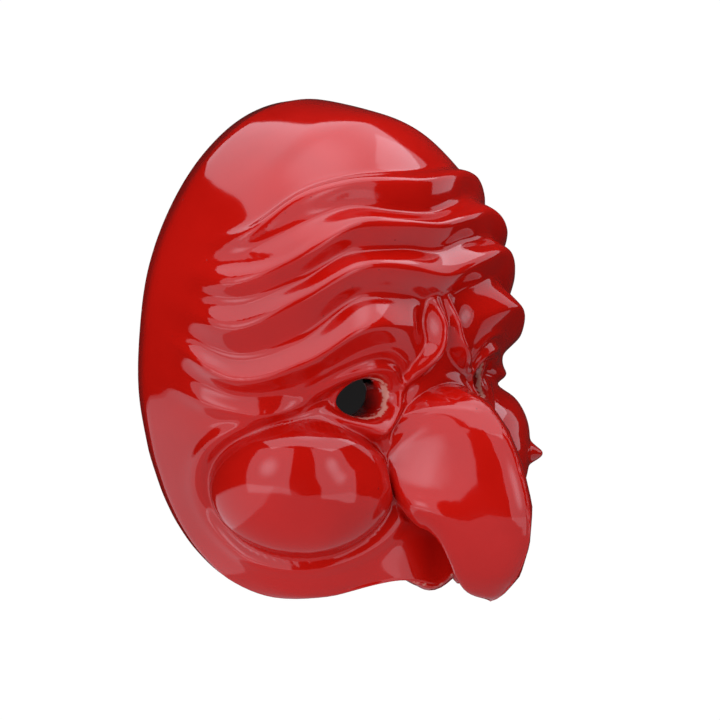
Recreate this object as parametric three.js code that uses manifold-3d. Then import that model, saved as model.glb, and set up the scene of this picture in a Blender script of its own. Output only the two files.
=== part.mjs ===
import * as THREE from 'three';
import { mergeVertices } from 'three/addons/utils/BufferGeometryUtils.js';
import Module from 'manifold-3d';

// A hook-nosed, furrowed half mask with ball cheeks, lying on its back edge.
// X runs across the face, Y towards the forehead and Z out of the face. Sizes are in millimetres.

const WALL = 3.5; // thickness of the shell
const FACE_CENTRE_Y = -10; // the point all directions round the face are measured from
const FACE_DEPTH = 74; // how far the plain face stands in front of the back edge
const BOX_MIDDLE_Y = 3; // moves the finished mask over the origin

// Back edge: direction from the top of the forehead (degrees), radius, and height off the ground.
// The sides lie flat and the lower edge sweeps forwards to the upper lip.
const EDGE_ANGLES = [
  -15, 0, 15, 30, 45, 60, 75, 90, 105, 112, 120,
  126, 132, 138, 144, 150, 156, 162, 168, 174, 180,
];
const EDGE_RADII = [
  99.8, 101.2, 99.8, 96, 91.6, 87.5, 83.2, 81.2, 79.8, 80.4, 82.2,
  85, 88.6, 91.4, 90.6, 84, 75.8, 71.2, 70.2, 70.6, 64.5,
];
const EDGE_HEIGHTS = [0, 0, 0, 0, 0, 0, 0, 0, 0, 1, 3, 7, 14, 24, 38, 54, 65, 72, 76, 78, 81];

// The forehead is fuller than the cheeks: exponent of the dome by direction.
const FULLNESS_ANGLES = [0, 20, 40, 60, 75, 90, 120, 180];
const FULLNESS = [3.35, 3.4, 3.6, 3, 2.8, 2.6, 2.3, 2.2];

// Brow furrows, from the forehead down: height up the face and rise of each crest and crease,
// every 15 degrees round the face from its middle to the wall of the temple.
const FOLD_STEP = 15;
const MIDDLE_ROUNDING = 4; // keeps the furrows from kinking where the two sides meet
const CREASE_ROUNDING = 0.11; // as a share of the way from crease to crest
const CREASE_SPAN = Math.sqrt(1 + CREASE_ROUNDING ** 2) - CREASE_ROUNDING;
const FOLDS = [
  { name: 'forehead', at: [84, 84, 83, 77, 66, 60, 60], rise: [3, 3, 3, 2.6, 1.8, 1, 1] },
  { name: 'first crease', at: [66, 66.2, 65.2, 60.8, 49.9, 46.4, 47], rise: [1.5, 1.5, 1.4, 1.2, 0.8, 0.6, 0.8] },
  { name: 'first crest', at: [60.8, 61.6, 61.4, 57, 45.6, 42.6, 43.5], rise: [4.6, 5.1, 5.4, 5.2, 4, 2.6, 1] },
  { name: 'second crease', at: [51.6, 54, 56, 50.8, 41.6, 39, 40], rise: [0, -0.6, -0.6, 0, 0.4, 0.4, 0.8] },
  { name: 'second crest', at: [46, 47.8, 48, 38.8, 30.2, 30.4, 31.4], rise: [5, 5.6, 5.6, 5, 4.4, 3.4, 1.2] },
  { name: 'third crease', at: [38, 41.2, 41.2, 32.3, 25.1, 26.6, 28], rise: [0, -0.7, -1, -0.6, -0.2, 0.2, 0.8] },
  { name: 'third crest', at: [28.4, 33, 34.8, 25.2, 15.6, 19.5, 23], rise: [4.8, 5.6, 5.4, 4.2, 4.2, 3.8, 1.4] },
  { name: 'fourth crease', at: [20, 24.6, 25.2, 11.8, 5.3, 10.8, 16], rise: [-1.8, -1.5, -1.4, -1, -0.6, -0.2, 0.8] },
  { name: 'brow crest', at: [11, 13.7, 14.9, 3.2, -2.3, 7.6, 13], rise: [-1, 2, 7.4, 5.6, 5.6, 4.6, 1.6] },
  { name: 'under the brow', at: [2, 2, 1.6, -5.6, -8.3, -1.4, 6], rise: [0, 0, -1, -0.8, 0, 0.8, 1] },
  { name: 'temple crest', at: [-4, -4, -5.6, -12.6, -13.9, -7.6, 2], rise: [0, -1, -1.8, 0.2, 2.8, 2.8, 1.2] },
  { name: 'under the eye', at: [-8, -8.4, -13.4, -16.6, -18.4, -13.4, -3], rise: [0, -0.5, -2.2, -1.8, 0.4, 0.8, 0.8] },
  { name: 'cheek', at: [-14, -18, -25, -24, -24, -20, -10], rise: [0, 0, -1, 0.4, 1, 1, 1] },
];

// Rolls laid on the face, drawn on one side and mirrored: path, half width and rise along it.
const ROLLS = [
  {
    name: 'upper lid',
    path: [[-64, -15], [-54, -10.5], [-44, -4], [-34, -1], [-26, -2.5], [-21, -8], [-20.5, -13]],
    half: [3, 3.4, 3.8, 4, 3.8, 3.6, 3],
    rise: [0.3, 0.7, 2, 3.8, 3.8, 2, 0.6],
  },
  {
    name: 'lower lid',
    path: [[-21, -12], [-24, -18], [-32, -21], [-42, -19], [-52, -15.5], [-62, -16]],
    half: [3, 3.6, 3.8, 3.4, 3, 2.6],
    rise: [0.6, 3.2, 4, 1.8, 0.2, 0],
  },
  {
    name: 'frown',
    path: [[-3.5, 20], [-4, 12], [-6, 5], [-12, -1.5], [-18, -7]],
    half: [4, 4.4, 4.4, 4, 3],
    rise: [3, 6, 6, 4, 0.8],
  },
];

// Hollows sunk into the face on both sides: middle, half sizes and depth.
const HOLLOWS = [
  { name: 'eye socket', middle: [-34, -11], half: [19, 10], depth: 6.5 },
  { name: 'outer corner', middle: [-51, -15], half: [10, 7], depth: 3.6 },
  { name: 'brow pit', middle: [-10, 14], half: [4.5, 6], depth: 3 },
];

// Ball cheek: middle of its foot, half length and half height, how proud it stands.
const BALL_MIDDLE = new THREE.Vector3(-46.5, -43, 47.6);
const BALL_ALONG = new THREE.Vector3(43.9, -0.4, 45.6).normalize();
const BALL_HALF_LENGTH = 32.5;
const BALL_HALF_HEIGHT = 23.8;
const BALL_RISE = 16.3;

// One wart, on the ball cheek at +X only.
const WART_ALONG = 2;
const WART_UP = 2;
const WART_RADIUS = 6;
const WART_RISE = 5;

// Hooked nose: where it leaves the face, then its ridge and its underside as (Y, Z), with half widths.
const NOSE_FOOT_Y = -34;
const NOSE_FOOT_ANGLES = [0, 30, 60, 90, 120, 150, 180];
const NOSE_FOOT_RADII = [25, 25.5, 26.5, 26.5, 27, 28, 27];
const NOSE_RIDGE = [
  [-9, 74], [-11, 85], [-15, 94.5], [-23.5, 102.8], [-35, 109],
  [-50, 113.6], [-63, 112.8], [-75, 107.6], [-82.6, 100.6], [-85.2, 96],
];
const NOSE_UNDER = [
  [-60, 77], [-60, 80], [-60.5, 82.5], [-62, 84.5], [-64, 86],
  [-67, 87.2], [-71, 88], [-76, 89], [-81.4, 91.4], [-85.2, 96],
];
const NOSE_HALF_WIDTHS = [27, 27, 26.8, 26.6, 26, 24.4, 21, 16.8, 11.6, 0];
const NOSE_CORNER = 4.4; // how square each ring of the nose is on its lower side
const NOSE_RIDGE_CORNER = 9; // and on its upper side, before its sides are drawn in
const NOSE_SIDES = [1.19, 0.64]; // how its sides draw in from the face to the ridge
const NOSE_TIP_SIDES = [1.7, 0.5]; // and how they do so at the tip, which is rounder
const NOSE_BROADEST_Y = -46; // above this the nose narrows towards its root
const NOSE_NARROWING = [0.0055, 0.0001];
const NOSE_BASE_HEIGHT = 75;
const NOSE_BASE_DROP = 0.2;
const NOSE_WING_Y = -49; // crest of the bulge on each side, over the nostril
const NOSE_WING_DROP = 6; // how far the crest falls back towards the ridge
const NOSE_WING_UPPER = 4.6;
const NOSE_WING_LOWER = 9;
const NOSE_WING_RISE = 2.8;
const NOSE_FILLET_SHARE = 0.16; // share of the nose over which it grows out of the face
const INNER_NOSE_SHARE = 0.9; // the hollow stops short of the tip

// Eye holes: middle, half sizes and lean of the opening. The wall is thicker round them.
const EYE_MIDDLE = [-31.4, -11.4];
const EYE_HALF_WIDTH = 8.4;
const EYE_HALF_HEIGHT = 7;
const EYE_LIP = 6.5;
const EYE_LEAN = THREE.MathUtils.degToRad(8);
const EYE_SIDES = 28;

// Facets.
const AROUND = 76;
const FACE_RINGS = 34;
const NOSE_RINGS = 8;
const INNER_FACE_RINGS = 12;
const INNER_NOSE_RINGS = 5;
const EDGE_FADE = 0.1; // the relief dies out over this last share of the face

const LACQUER_COLOUR = 0xb4120c;

// Smooth curve through given values.
function curveThrough(stations, values, x) {
  const last = stations.length - 1;
  let i = 0;
  while (i < last - 1 && x > stations[i + 1]) i += 1;
  const slopeAt = (k) => {
    const before = k > 0 ? (values[k] - values[k - 1]) / (stations[k] - stations[k - 1]) : null;
    const after = k < last ? (values[k + 1] - values[k]) / (stations[k + 1] - stations[k]) : null;
    if (before === null) return after;
    if (after === null) return before;
    if (before === 0 || after === 0) return 0;
    const gapBefore = stations[k] - stations[k - 1];
    const gapAfter = stations[k + 1] - stations[k];
    return (after * gapBefore + before * gapAfter) / (gapBefore + gapAfter);
  };
  const gap = stations[i + 1] - stations[i];
  const t = Math.min(Math.max((x - stations[i]) / gap, 0), 1);
  const t2 = t * t;
  const t3 = t2 * t;
  return (2 * t3 - 3 * t2 + 1) * values[i] + (t3 - 2 * t2 + t) * gap * slopeAt(i)
    + (3 * t2 - 2 * t3) * values[i + 1] + (t3 - t2) * gap * slopeAt(i + 1);
}

// Curve through values spread evenly from share 0 to share 1.
function evenCurve(values, share) {
  const stations = values.map((value, k) => k / (values.length - 1));
  return curveThrough(stations, values, share);
}

function ease(t) {
  const c = Math.min(Math.max(t, 0), 1);
  return c * c * (3 - 2 * c);
}

// The higher of two heights with the corner between them rounded.
function softHigher(a, b, rounding) {
  return 0.5 * (a + b + Math.sqrt((a - b) ** 2 + rounding ** 2));
}

// Height of the plain face, before any relief.
function plainFace(x, y) {
  const angle = THREE.MathUtils.radToDeg(Math.atan2(Math.abs(x), y - FACE_CENTRE_Y));
  const radius = curveThrough(EDGE_ANGLES, EDGE_RADII, angle);
  const height = curveThrough(EDGE_ANGLES, EDGE_HEIGHTS, angle);
  const fullness = curveThrough(FULLNESS_ANGLES, FULLNESS, angle);
  const share = Math.min(Math.hypot(x, y - FACE_CENTRE_Y) / radius, 1);
  return height + (FACE_DEPTH - height) * Math.sqrt(1 - share ** fullness);
}

// Rise of the furrows: rounded over each crest, and sharp in the creases near the middle.
function foldRise(x, y) {
  const turn = THREE.MathUtils.radToDeg(Math.atan2(Math.abs(x), Math.max(plainFace(x, y), 0.1)));
  const across = Math.hypot(turn, MIDDLE_ROUNDING * Math.exp(-((turn / 10) ** 2)));
  const stations = FOLDS[0].at.map((value, k) => k * FOLD_STEP);
  const crisp = ease((across - 12) / 36);
  let upper = curveThrough(stations, FOLDS[0].at, across);
  let upperRise = curveThrough(stations, FOLDS[0].rise, across);
  if (y >= upper) return upperRise;
  for (const fold of FOLDS.slice(1)) {
    const lower = curveThrough(stations, fold.at, across);
    const lowerRise = curveThrough(stations, fold.rise, across);
    if (y >= lower) {
      const down = (upper - y) / Math.max(upper - lower, 0.5);
      const toCrest = lowerRise > upperRise ? down : 1 - down;
      const eased = (Math.hypot(toCrest, CREASE_ROUNDING) - CREASE_ROUNDING) / CREASE_SPAN;
      const rounded = 1 - Math.max(1 - eased, 0) ** (1.5 - 0.25 * crisp);
      const above = (1 - crisp) * rounded + crisp * (0.35 * rounded + 0.65 * eased ** 1.3);
      const below = 0.65 * rounded + 0.35 * eased ** 1.7;
      const profile = lowerRise > upperRise ? above : below;
      return Math.min(upperRise, lowerRise) + Math.abs(lowerRise - upperRise) * profile;
    }
    upper = lower;
    upperRise = lowerRise;
  }
  return upperRise;
}

// Points along a roll, laid on the plain face.
function rollPath(roll) {
  const steps = 24;
  const points = [];
  for (let k = 0; k <= steps; k += 1) {
    const x = evenCurve(roll.path.map((place) => place[0]), k / steps);
    const y = evenCurve(roll.path.map((place) => place[1]), k / steps);
    points.push(new THREE.Vector3(x, y, plainFace(x, y)));
  }
  return points;
}

const ROLL_PATHS = ROLLS.map(rollPath);

function rollRise(place) {
  let rise = 0;
  const nearest = new THREE.Vector3();
  ROLLS.forEach((roll, which) => {
    const path = ROLL_PATHS[which];
    let least = Infinity;
    let share = 0;
    for (let k = 0; k < path.length - 1; k += 1) {
      const piece = new THREE.Line3(path[k], path[k + 1]);
      const along = piece.closestPointToPointParameter(place, true);
      piece.at(along, nearest);
      const away = nearest.distanceTo(place);
      if (away < least) {
        least = away;
        share = (k + along) / (path.length - 1);
      }
    }
    const away = least / evenCurve(roll.half, share);
    if (away < 1) rise += evenCurve(roll.rise, share) * (1 - away * away) ** 1.5;
  });
  return rise;
}

function hollowRise(x, y) {
  let rise = 0;
  for (const hollow of HOLLOWS) {
    const across = (x - hollow.middle[0]) / hollow.half[0];
    const up = (y - hollow.middle[1]) / hollow.half[1];
    rise -= hollow.depth * Math.exp(-(across * across) - up * up);
  }
  return rise;
}

// Where a place on the face falls on the foot of the ball cheek: along, up, and share of its radius.
function ballPlace(place) {
  const up = new THREE.Vector3(0, 1, 0).addScaledVector(BALL_ALONG, -BALL_ALONG.y).normalize();
  const from = place.clone().sub(BALL_MIDDLE);
  const along = from.dot(BALL_ALONG);
  const height = from.dot(up);
  return { along, height, share: Math.hypot(along / BALL_HALF_LENGTH, height / BALL_HALF_HEIGHT) };
}

// 1 on the outline of an eye hole, and less inside it.
function eyeShare(x, y) {
  const across = -Math.abs(x) - EYE_MIDDLE[0];
  const up = y - EYE_MIDDLE[1];
  const wide = (across * Math.cos(EYE_LEAN) + up * Math.sin(EYE_LEAN)) / EYE_HALF_WIDTH;
  const tall = (up * Math.cos(EYE_LEAN) - across * Math.sin(EYE_LEAN)) / EYE_HALF_HEIGHT;
  return Math.hypot(wide, tall);
}

// All relief at a place on the plain face; the inside only keeps its broad forms.
function relief(point, inside) {
  const place = new THREE.Vector3(-Math.abs(point.x), point.y, point.z);
  const ball = ballPlace(place);
  const sunk = hollowRise(place.x, place.y);
  const dome = BALL_RISE * Math.sqrt(Math.max(1 - ball.share ** 2, 0));
  const ballRise = dome - 1.5 - 40 * Math.max(ball.share - 1, 0);
  if (inside) {
    const lip = EYE_LIP * Math.exp(-(((eyeShare(place.x, place.y) - 0.95) / 0.45) ** 2));
    return softHigher(sunk * 1.2 - WALL - lip, ballRise - WALL, 1.2);
  }
  let rise = foldRise(place.x, place.y) + sunk + rollRise(place);
  rise *= ease((ball.share - 0.85) / 0.4);
  rise -= 1.3 * Math.exp(-(((ball.share - 1.02) / 0.08) ** 2));
  rise += 1.5 * Math.exp(-(((ball.share - 1.19) / 0.1) ** 2));
  rise = softHigher(rise, ballRise, 1.2);
  if (point.x > 0) {
    const away = Math.hypot(ball.along - WART_ALONG, ball.height - WART_UP) / WART_RADIUS;
    if (away < 1) rise += WART_RISE * (1 - away * away) ** 1.5;
  }
  return rise;
}

// Directions round the face, closer together over the temples where the furrows fan out.
function directions() {
  const list = [];
  for (let k = 0; k < AROUND; k += 1) {
    const turn = (k / AROUND) * 2 * Math.PI;
    list.push(turn + 0.2 * Math.sin(2 * turn));
  }
  return list;
}

// Rings of points over the face from the foot of the nose out to the back edge.
function faceRings(turns, rings, inside) {
  const across = (turn) => (turn <= Math.PI ? turn : 2 * Math.PI - turn);
  const grid = [];
  for (let r = 0; r <= rings; r += 1) {
    const even = r / rings;
    const share = 0.45 * even + 0.55 * Math.sin(even * Math.PI / 2);
    grid.push(turns.map((turn) => {
      const angle = THREE.MathUtils.radToDeg(across(turn));
      const edge = curveThrough(EDGE_ANGLES, EDGE_RADII, angle);
      const foot = curveThrough(NOSE_FOOT_ANGLES, NOSE_FOOT_RADII, angle);
      const edgeX = edge * Math.sin(turn);
      const edgeY = FACE_CENTRE_Y + edge * Math.cos(turn);
      const footX = foot * Math.sin(turn);
      const footY = NOSE_FOOT_Y + foot * Math.cos(turn);
      const x = footX + (edgeX - footX) * share;
      const y = footY + (edgeY - footY) * share;
      const z = r === rings ? curveThrough(EDGE_ANGLES, EDGE_HEIGHTS, angle) : plainFace(x, y);
      return new THREE.Vector3(x, y, z);
    }));
  }
  const count = turns.length;
  return grid.map((ring, r) => {
    const even = r / rings;
    const share = 0.45 * even + 0.55 * Math.sin(even * Math.PI / 2);
    const fade = ease((1 - share) / EDGE_FADE) * (0.3 + 0.7 * ease(share / 0.05));
    return ring.map((point, k) => {
      const round = ring[(k + count - 1) % count].clone().sub(ring[(k + 1) % count]);
      const outer = grid[Math.min(r + 1, rings)][k];
      const inner = grid[Math.max(r - 1, 0)][k];
      const normal = round.cross(inner.clone().sub(outer)).normalize();
      if (r === rings) {
        normal.z *= ease(point.z / 60);
        normal.normalize();
      }
      const rise = inside ? -WALL + (relief(point, true) + WALL) * fade : relief(point, false) * fade;
      return point.clone().addScaledVector(normal, rise);
    });
  });
}

// Height of the nose ridge over a place along it.
function ridgeHeight(y) {
  let height = NOSE_RIDGE[0][1];
  for (let k = 1; k < NOSE_RIDGE.length; k += 1) {
    const [y0, z0] = NOSE_RIDGE[k - 1];
    const [y1, z1] = NOSE_RIDGE[k];
    if (y <= y0) height = THREE.MathUtils.lerp(z0, z1, Math.min((y - y0) / (y1 - y0), 1));
  }
  return Math.max(height, noseBase(y) + 6);
}

// Height over the face at which the nose begins, at a place along it.
function noseBase(y) {
  return NOSE_BASE_HEIGHT - NOSE_BASE_DROP * Math.max(y - NOSE_BROADEST_Y, 0);
}

// Half width of the nose as a share of its full width, drawn in from the face to the ridge.
function noseDraw(y, z) {
  const above = Math.max(y - NOSE_BROADEST_Y, 0);
  const base = noseBase(y);
  const height = Math.min(Math.max((z - base) / (ridgeHeight(y) - base), 0), 1);
  const tip = ease((-60 - y) / 20);
  const curve = THREE.MathUtils.lerp(NOSE_SIDES[0], NOSE_TIP_SIDES[0], tip);
  const power = THREE.MathUtils.lerp(NOSE_SIDES[1], NOSE_TIP_SIDES[1], tip);
  const narrowed = 1 - NOSE_NARROWING[0] * above - NOSE_NARROWING[1] * above ** 2;
  return narrowed * Math.max(1 - height ** curve, 0.0001) ** power;
}

// How far the side of the nose bulges over the nostril.
function wingRise(y, z) {
  const crestY = NOSE_WING_Y - NOSE_WING_DROP * ease((z - 84) / 20);
  const aside = (y - crestY) / (y > crestY ? NOSE_WING_UPPER : NOSE_WING_LOWER);
  return NOSE_WING_RISE * Math.exp(-aside * aside) * (1 - ease((z - 86) / 20));
}

// Rings of points along the nose, from just above the face to the tip.
function noseRings(turns, foot, rings, inside) {
  const inset = inside ? WALL : 0;
  const reach = inside ? INNER_NOSE_SHARE : 1;
  const list = [];
  for (let r = 1; r <= rings; r += 1) {
    const share = reach * (1 - (1 - r / (rings + 1)) ** 1.25);
    const ridge = [0, 1].map((k) => evenCurve(NOSE_RIDGE.map((place) => place[k]), share));
    const under = [0, 1].map((k) => evenCurve(NOSE_UNDER.map((place) => place[k]), share));
    const tall = Math.hypot(ridge[0] - under[0], ridge[1] - under[1]);
    const keep = Math.max(1 - 2 * inset / tall, 0.2);
    const half = Math.max(evenCurve(NOSE_HALF_WIDTHS, share) - inset, inside ? 1 : 0);
    const grown = ease(share / NOSE_FILLET_SHARE);
    list.push(turns.map((turn, k) => {
      const power = 2 / (Math.cos(turn) > 0 ? NOSE_RIDGE_CORNER : NOSE_CORNER);
      const up = Math.sign(Math.cos(turn)) * Math.abs(Math.cos(turn)) ** power;
      const out = Math.sign(Math.sin(turn)) * Math.abs(Math.sin(turn)) ** power;
      const y = (ridge[0] + under[0]) / 2 + keep * up * (ridge[0] - under[0]) / 2;
      const z = (ridge[1] + under[1]) / 2 + keep * up * (ridge[1] - under[1]) / 2;
      const wing = inside ? 0 : wingRise(y, z) * out;
      const x = half * out * noseDraw(y, z + 1.3 * inset) + wing;
      return foot[k].clone().lerp(new THREE.Vector3(x, y, z), grown);
    }));
  }
  return list;
}

function noseTip(inside) {
  const share = inside ? INNER_NOSE_SHARE : 1;
  const middle = [0, 1].map((k) => {
    const ridge = evenCurve(NOSE_RIDGE.map((place) => place[k]), share);
    const under = evenCurve(NOSE_UNDER.map((place) => place[k]), share);
    return (ridge + under) / 2;
  });
  return new THREE.Vector3(0, middle[0], middle[1]);
}

// One sheet of the shell as rings, the one nearest the nose tip first.
function sheet(turns, facing, nose, inside) {
  const face = faceRings(turns, facing, inside);
  const beak = noseRings(turns, face[0], nose, inside);
  return [...beak.reverse(), ...face];
}

// The shell: outer sheet, flat back edge and inner sheet, closed into one body.
function shellGeometry() {
  const turns = directions();
  const outer = sheet(turns, FACE_RINGS, NOSE_RINGS, false);
  const inner = sheet(turns, INNER_FACE_RINGS, INNER_NOSE_RINGS, true);
  const rings = [...outer, ...inner.reverse()];
  const points = [noseTip(false), ...rings.flat(), noseTip(true)];
  const count = turns.length;
  const corner = (r, k) => 1 + r * count + (k % count);
  const faces = [];
  for (let k = 0; k < count; k += 1) {
    faces.push([0, corner(0, k + 1), corner(0, k)]);
    for (let r = 0; r < rings.length - 1; r += 1) {
      const square = [corner(r, k), corner(r, k + 1), corner(r + 1, k + 1), corner(r + 1, k)];
      const [a, b, c, d] = square;
      // Each square is cut along its shorter diagonal, so that the furrows stay even.
      if (points[a].distanceTo(points[c]) < points[b].distanceTo(points[d])) faces.push([a, b, c], [a, c, d]);
      else faces.push([a, b, d], [b, c, d]);
    }
    faces.push([points.length - 1, corner(rings.length - 1, k), corner(rings.length - 1, k + 1)]);
  }
  return geometryFrom(points, faces);
}

// Straight plug with the outline of an eye opening, on the side given by -1 or +1.
function eyePlug(side) {
  const points = [];
  for (const z of [20, 100]) {
    for (let k = 0; k < EYE_SIDES; k += 1) {
      const turn = (k / EYE_SIDES) * 2 * Math.PI;
      const wide = EYE_HALF_WIDTH * Math.cos(turn);
      const tall = EYE_HALF_HEIGHT * Math.sin(turn);
      const x = EYE_MIDDLE[0] + wide * Math.cos(EYE_LEAN) - tall * Math.sin(EYE_LEAN);
      const y = EYE_MIDDLE[1] + wide * Math.sin(EYE_LEAN) + tall * Math.cos(EYE_LEAN);
      points.push(new THREE.Vector3(-side * x, y, z));
    }
  }
  const faces = [];
  for (let k = 0; k < EYE_SIDES; k += 1) {
    const next = (k + 1) % EYE_SIDES;
    faces.push([k, next, EYE_SIDES + next]);
    faces.push([k, EYE_SIDES + next, EYE_SIDES + k]);
    if (k > 0 && k < EYE_SIDES - 1) {
      faces.push([0, k + 1, k]);
      faces.push([EYE_SIDES, EYE_SIDES + k, EYE_SIDES + k + 1]);
    }
  }
  const turned = side < 0 ? faces : faces.map((face) => [face[0], face[2], face[1]]);
  return geometryFrom(points, turned);
}

function geometryFrom(points, faces) {
  const geometry = new THREE.BufferGeometry();
  geometry.setAttribute('position', new THREE.Float32BufferAttribute(points.flatMap((p) => p.toArray()), 3));
  geometry.setIndex(faces.flat());
  return geometry;
}

const wasm = await Module();
wasm.setup();

function toSolid(geometry) {
  const bare = geometry.clone();
  bare.deleteAttribute('normal');
  bare.deleteAttribute('uv');
  const merged = mergeVertices(bare, 1e-4);
  return new wasm.Manifold(new wasm.Mesh({
    numProp: 3,
    vertProperties: new Float32Array(merged.attributes.position.array),
    triVerts: new Uint32Array(merged.index.array),
  }));
}

function toGeometry(solid) {
  const mesh = solid.getMesh();
  const geometry = new THREE.BufferGeometry();
  geometry.setAttribute('position', new THREE.BufferAttribute(new Float32Array(mesh.vertProperties), 3));
  geometry.setIndex(new THREE.BufferAttribute(new Uint32Array(mesh.triVerts), 1));
  geometry.computeVertexNormals();
  return geometry;
}

const shell = toSolid(shellGeometry())
  .subtract(toSolid(eyePlug(-1)))
  .subtract(toSolid(eyePlug(1)));

const maskGeometry = toGeometry(shell);
maskGeometry.translate(0, -BOX_MIDDLE_Y, 0);

const lacquer = new THREE.MeshStandardMaterial({ color: LACQUER_COLOUR, roughness: 0.12, metalness: 0 });
const mask = new THREE.Mesh(maskGeometry, lacquer);
mask.name = 'mask';

const group = new THREE.Group();
group.name = 'hook_nosed_half_mask';
group.add(mask);

export default group;
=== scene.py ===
"""A glossy red, hook-nosed half mask with a furrowed brow and ball cheeks, lying on its back edge.

The mask is one cast shell. Its outside and inside are two sheets of rings, drawn by the functions
below from named sizes in millimetres, and joined at the back edge and round the eye holes.
"""

import math

import bmesh
import bpy
import numpy as np
from mathutils import Matrix, Vector


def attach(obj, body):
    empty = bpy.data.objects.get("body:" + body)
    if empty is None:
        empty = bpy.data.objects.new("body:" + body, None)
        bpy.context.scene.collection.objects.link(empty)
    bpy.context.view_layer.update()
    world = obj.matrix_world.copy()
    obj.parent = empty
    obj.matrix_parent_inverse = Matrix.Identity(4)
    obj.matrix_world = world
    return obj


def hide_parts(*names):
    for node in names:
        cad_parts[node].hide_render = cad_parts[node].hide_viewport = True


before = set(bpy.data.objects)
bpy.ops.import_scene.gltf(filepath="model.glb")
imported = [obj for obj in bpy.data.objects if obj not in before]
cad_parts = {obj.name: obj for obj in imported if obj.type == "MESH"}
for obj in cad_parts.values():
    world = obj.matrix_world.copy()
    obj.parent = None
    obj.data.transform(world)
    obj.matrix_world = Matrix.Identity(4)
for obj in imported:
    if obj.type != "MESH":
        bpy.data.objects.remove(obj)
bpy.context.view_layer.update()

MM = 0.001

# Sizes of the mask, in millimetres

WALL = 3.5  # thickness of the shell
FACE_CENTRE_Y = -10.0  # the point all directions round the face are measured from
FACE_DEPTH = 74.0  # how far the plain face stands in front of the back edge
BOX_MIDDLE_Y = 3.0  # moves the finished mask over the origin

# Back edge: direction from the top of the forehead (degrees), radius, and height off the ground.
EDGE_ANGLES = [
    -15, 0, 15, 30, 45, 60, 75, 90, 105, 112, 120,
    126, 132, 138, 144, 150, 156, 162, 168, 174, 180,
]
EDGE_RADII = [
    99.8, 101.2, 99.8, 96, 91.6, 87.5, 83.2, 81.2, 79.8, 80.4, 82.2,
    85, 88.6, 91.4, 90.6, 84, 75.8, 71.2, 70.2, 70.6, 64.5,
]
EDGE_HEIGHTS = [0, 0, 0, 0, 0, 0, 0, 0, 0, 1, 3, 7, 14, 24, 38, 54, 65, 72, 76, 78, 81]

# The forehead is fuller than the cheeks: exponent of the dome by direction.
FULLNESS_ANGLES = [0, 20, 40, 60, 75, 90, 120, 180]
FULLNESS = [3.35, 3.4, 3.6, 3.0, 2.8, 2.6, 2.3, 2.2]

# Brow furrows, from the forehead down: height up the face and rise of each crest and crease,
# every 15 degrees round the face from its middle to the wall of the temple.
FOLD_STEP = 15.0
MIDDLE_ROUNDING = 4.0  # keeps the furrows from kinking where the two sides meet
MIDDLE_REACH = 10.0  # and dies out over about this many degrees
CREASE_ROUNDING = 0.11  # as a share of the way from crease to crest
CREASE_SPAN = math.sqrt(1 + CREASE_ROUNDING**2) - CREASE_ROUNDING
CRISP_FROM = 12.0  # degrees from the middle at which the crests begin to sharpen
CRISP_OVER = 36.0  # and over how many degrees they do
CREST_ROUNDNESS = (1.5, 0.25)  # power that rounds a crest, and how much of it is lost where crisp
UPPER_FLANK = (0.35, 0.65, 1.3)  # above a crisp crest: share round, share hollow, and its power
LOWER_FLANK = (0.65, 0.35, 1.7)  # the same below every crest
LEAST_FLANK = 0.5  # least distance counted from a crest to a crease
LEAST_HEIGHT = 0.1  # least height of the face that its turn is measured with
FOLDS = [
    ("forehead", [84, 84, 83, 77, 66, 60, 60], [3, 3, 3, 2.6, 1.8, 1, 1]),
    ("first crease", [66, 66.2, 65.2, 60.8, 49.9, 46.4, 47], [1.5, 1.5, 1.4, 1.2, 0.8, 0.6, 0.8]),
    ("first crest", [60.8, 61.6, 61.4, 57, 45.6, 42.6, 43.5], [4.6, 5.1, 5.4, 5.2, 4, 2.6, 1]),
    ("second crease", [51.6, 54, 56, 50.8, 41.6, 39, 40], [0, -0.6, -0.6, 0, 0.4, 0.4, 0.8]),
    ("second crest", [46, 47.8, 48, 38.8, 30.2, 30.4, 31.4], [5, 5.6, 5.6, 5, 4.4, 3.4, 1.2]),
    ("third crease", [38, 41.2, 41.2, 32.3, 25.1, 26.6, 28], [0, -0.7, -1, -0.6, -0.2, 0.2, 0.8]),
    ("third crest", [28.4, 33, 34.8, 25.2, 15.6, 19.5, 23], [4.8, 5.6, 5.4, 4.2, 4.2, 3.8, 1.4]),
    ("fourth crease", [20, 24.6, 25.2, 11.8, 5.3, 10.8, 16], [-1.8, -1.5, -1.4, -1, -0.6, -0.2, 0.8]),
    ("brow crest", [11, 13.7, 14.9, 3.2, -2.3, 7.6, 13], [-1, 2, 7.4, 5.6, 5.6, 4.6, 1.6]),
    ("under the brow", [2, 2, 1.6, -5.6, -8.3, -1.4, 6], [0, 0, -1, -0.8, 0, 0.8, 1]),
    ("temple crest", [-4, -4, -5.6, -12.6, -13.9, -7.6, 2], [0, -1, -1.8, 0.2, 2.8, 2.8, 1.2]),
    ("under the eye", [-8, -8.4, -13.4, -16.6, -18.4, -13.4, -3], [0, -0.5, -2.2, -1.8, 0.4, 0.8, 0.8]),
    ("cheek", [-14, -18, -25, -24, -24, -20, -10], [0, 0, -1, 0.4, 1, 1, 1]),
]

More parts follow.
